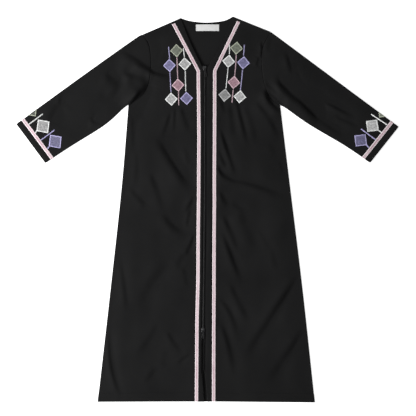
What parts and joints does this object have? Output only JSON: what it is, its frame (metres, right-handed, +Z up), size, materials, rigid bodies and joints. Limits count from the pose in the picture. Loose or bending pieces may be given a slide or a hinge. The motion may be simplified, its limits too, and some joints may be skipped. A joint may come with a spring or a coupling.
{
  "type": "child's zip-front abaya laid flat",
  "caption": "Long black child's abaya laid flat, with V neck, braided zip front, set-in sleeves, braided cuffs and two zip pulls that lift.",
  "frame": {"origin": "centre of the laid garment's footprint, on the surface that it lies on", "axes": "+Y runs from the hem to the neck, +X to the right-hand sleeve as seen from above, and +Z up off the surface, out of the garment's front"},
  "size_m": [0.994, 1.003, 0.0104],
  "materials": {
    "crepe": "matt black polyester crepe",
    "braid": "pale pink woven braid",
    "zip_tape": "black woven zip tape",
    "zip_coil": "black nylon coil",
    "slider_metal": "black-lacquered zinc",
    "label": "white woven satin, bare"
  },
  "bodies": {
    "garment": {"back": "crepe", "front_left": "crepe", "front_right": "crepe", "sleeve_left": "crepe", "sleeve_right": "crepe", "band_left": "crepe", "band_right": "crepe", "braid_left": "braid", "braid_right": "braid", "cuff_braid_left": "braid", "cuff_braid_right": "braid", "zip_tape_left": "zip_tape", "zip_tape_right": "zip_tape", "zip_coil": "zip_coil", "slider_top": "slider_metal", "slider_low": "slider_metal", "label": "label"},
    "upper_pull": {"pull_top": "slider_metal"},
    "lower_pull": {"pull_low": "slider_metal"}
  },
  "joints": [
    {"name": "upper_pull_swing", "type": "hinge", "parent": "garment", "child": "upper_pull", "pos_m": [-0.0075, 0.367, 0.00865], "axis": [-0.9848, -0.1736, 0], "range_deg": [0, 160]},
    {"name": "lower_pull_swing", "type": "hinge", "parent": "garment", "child": "lower_pull", "pos_m": [-0.0114, -0.313, 0.00865], "axis": [-1, 0, 0], "range_deg": [0, 160]}
  ]
}
